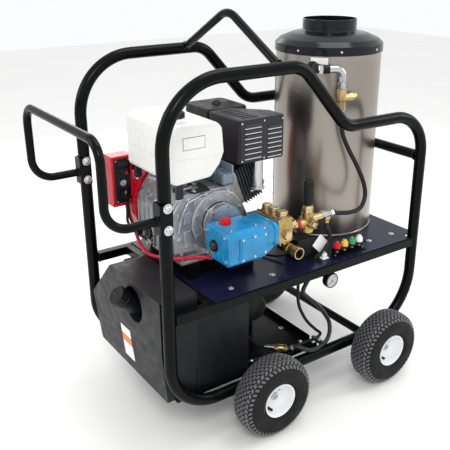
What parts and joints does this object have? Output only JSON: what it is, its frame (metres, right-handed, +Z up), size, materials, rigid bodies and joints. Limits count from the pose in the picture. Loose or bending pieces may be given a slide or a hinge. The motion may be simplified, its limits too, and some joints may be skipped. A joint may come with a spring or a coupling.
{
  "type": "hot-water pressure washer",
  "caption": "Engine-driven hot-water pressure washer on a wheeled tubular cart, with a vertical heater, fuel tank, plunger pump, push handle and lifting arch.",
  "frame": {"origin": "centre of the bounding box, on the ground", "axes": "+Z up, +X towards the pump side, +Y towards the heater end; the push handle is at -Y"},
  "size_m": [0.79, 1.2266, 1.2795],
  "materials": {
    "frame_paint": "gloss",
    "deck_paint": "gloss",
    "zinc_steel": "satin",
    "rim_paint": "gloss",
    "tyre": "matte",
    "black_plastic": "matte",
    "tank_white": "gloss",
    "cover_red": "gloss",
    "casting": "cast",
    "fins_dark": "cast",
    "dark_steel": "satin",
    "pump_blue": "gloss",
    "red_plastic": "gloss",
    "drain_rubber": "matte",
    "yellow_plastic": "gloss",
    "green_plastic": "gloss",
    "white_plastic": "gloss",
    "brass": "cast",
    "stainless": "bright",
    "coil_pipe": "scaled",
    "hose_rubber": "matte",
    "gauge_case": "gloss"
  },
  "bodies": {
    "chassis": {"frame_right": "frame_paint", "frame_left": "frame_paint", "cross_tube_front": "frame_paint", "cross_tube_rear": "frame_paint", "rear_bar": "frame_paint", "lifting_arch": "frame_paint", "deck_frame": "frame_paint", "lower_tray": "frame_paint", "handle": "frame_paint", "engine_mounts": "frame_paint", "heater_cap": "frame_paint", "deck_plate": "deck_paint", "axle_front": "zinc_steel", "axle_rear": "zinc_steel", "nozzle_rack": "zinc_steel", "fuel_tank": "black_plastic", "control_box": "black_plastic", "air_cleaner": "black_plastic", "switch_box": "black_plastic", "engine_tank": "tank_white", "fan_housing": "cover_red", "crankcase": "casting", "cylinder": "fins_dark", "burner": "dark_steel", "muffler": "dark_steel", "gearbox": "dark_steel", "pump_body": "pump_blue", "drain_hose": "drain_rubber", "pump_manifold": "brass", "unloader": "brass", "inlet_fitting": "brass", "heater_fittings": "brass", "heater_shell": "stainless", "heater_coil": "coil_pipe", "hose_pressure": "hose_rubber", "hose_bypass": "hose_rubber", "lower_hoses": "hose_rubber", "gauge": "gauge_case"},
    "wheel_front_right": {"rim_front_right": "rim_paint", "tyre_front_right": "tyre"},
    "wheel_front_left": {"rim_front_left": "rim_paint", "tyre_front_left": "tyre"},
    "wheel_rear_right": {"rim_rear_right": "rim_paint", "tyre_rear_right": "tyre"},
    "wheel_rear_left": {"rim_rear_left": "rim_paint", "tyre_rear_left": "tyre"},
    "crank": {"crankshaft": "zinc_steel"},
    "pump_crank": {"pump_shaft": "zinc_steel"},
    "unloader_knob": {"unloader_knob": "black_plastic"},
    "pump_oil_cap": {"pump_oil_cap": "red_plastic"},
    "engine_tank_cap": {"engine_tank_cap": "black_plastic"},
    "fuel_cap": {"fuel_cap": "black_plastic"},
    "engine_switch": {"engine_switch": "black_plastic"},
    "recoil_grip": {"recoil_grip": "black_plastic"},
    "throttle_lever": {"throttle_lever": "zinc_steel"},
    "gauge_needle": {"gauge_needle": "gauge_case"},
    "nozzle_red": {"nozzle_red": "red_plastic"},
    "nozzle_yellow": {"nozzle_yellow": "yellow_plastic"},
    "nozzle_green": {"nozzle_green": "green_plastic"},
    "nozzle_white": {"nozzle_white": "white_plastic"}
  },
  "joints": [
    {"name": "spin_front_right", "type": "hinge", "parent": "chassis", "child": "wheel_front_right", "pos_m": [0.34, -0.11575, 0.1335], "axis": [1, 0, 0], "continuous": true},
    {"name": "spin_front_left", "type": "hinge", "parent": "chassis", "child": "wheel_front_left", "pos_m": [-0.34, -0.11575, 0.1335], "axis": [1, 0, 0], "continuous": true},
    {"name": "spin_rear_right", "type": "hinge", "parent": "chassis", "child": "wheel_rear_right", "pos_m": [0.34, 0.38225, 0.1335], "axis": [1, 0, 0], "continuous": true},
    {"name": "spin_rear_left", "type": "hinge", "parent": "chassis", "child": "wheel_rear_left", "pos_m": [-0.34, 0.38225, 0.1335], "axis": [1, 0, 0], "continuous": true},
    {"name": "crank_turn", "type": "hinge", "parent": "chassis", "child": "crank", "pos_m": [-0.1, -0.14475, 0.65], "axis": [1, 0, 0], "continuous": true},
    {"name": "pump_turn", "type": "hinge", "parent": "chassis", "child": "pump_crank", "pos_m": [0.15, -0.14475, 0.612], "axis": [1, 0, 0], "continuous": true},
    {"name": "unloader_turn", "type": "hinge", "parent": "chassis", "child": "unloader_knob", "pos_m": [0.205, 0.12625, 0.72], "axis": [0, 0, 1], "range_deg": [-360, 360]},
    {"name": "pump_oil_cap_turn", "type": "hinge", "parent": "chassis", "child": "pump_oil_cap", "pos_m": [0.17, -0.17175, 0.68], "axis": [0, 0, 1], "range_deg": [0, 360]},
    {"name": "engine_tank_cap_turn", "type": "hinge", "parent": "chassis", "child": "engine_tank_cap", "pos_m": [0.03, -0.25775, 0.99], "axis": [0, 0, 1], "range_deg": [0, 90]},
    {"name": "fuel_cap_turn", "type": "hinge", "parent": "chassis", "child": "fuel_cap", "pos_m": [0.034, -0.45635, 0.4384], "axis": [0, -0.722, 0.6919], "range_deg": [0, 360]},
    {"name": "engine_switch_turn", "type": "hinge", "parent": "chassis", "child": "engine_switch", "pos_m": [-0.173, -0.33475, 0.7], "axis": [1, 0, 0], "range_deg": [0, 90]},
    {"name": "recoil_pull", "type": "slide", "parent": "chassis", "child": "recoil_grip", "axis": [-1, 0, 0], "range_m": [0, 0.6], "stiffness_N_per_m": 20},
    {"name": "throttle_turn", "type": "hinge", "parent": "chassis", "child": "throttle_lever", "pos_m": [0.06, -0.21475, 0.764], "axis": [0, 0, 1], "range_deg": [-30, 30]},
    {"name": "gauge_needle_turn", "type": "hinge", "parent": "chassis", "child": "gauge_needle", "pos_m": [0.272, 0.18725, 0.416], "axis": [1, 0, 0], "range_deg": [-270, 0]},
    {"name": "nozzle_red_pull", "type": "slide", "parent": "chassis", "child": "nozzle_red", "axis": [0, 0, 1], "range_m": [0, 0.06]},
    {"name": "nozzle_yellow_pull", "type": "slide", "parent": "chassis", "child": "nozzle_yellow", "axis": [0, 0, 1], "range_m": [0, 0.06]},
    {"name": "nozzle_green_pull", "type": "slide", "parent": "chassis", "child": "nozzle_green", "axis": [0, 0, 1], "range_m": [0, 0.06]},
    {"name": "nozzle_white_pull", "type": "slide", "parent": "chassis", "child": "nozzle_white", "axis": [0, 0, 1], "range_m": [0, 0.06]}
  ],
  "couplings": [
    {"joint": "pump_turn", "follows": "crank_turn", "ratio": -0.4545}
  ]
}
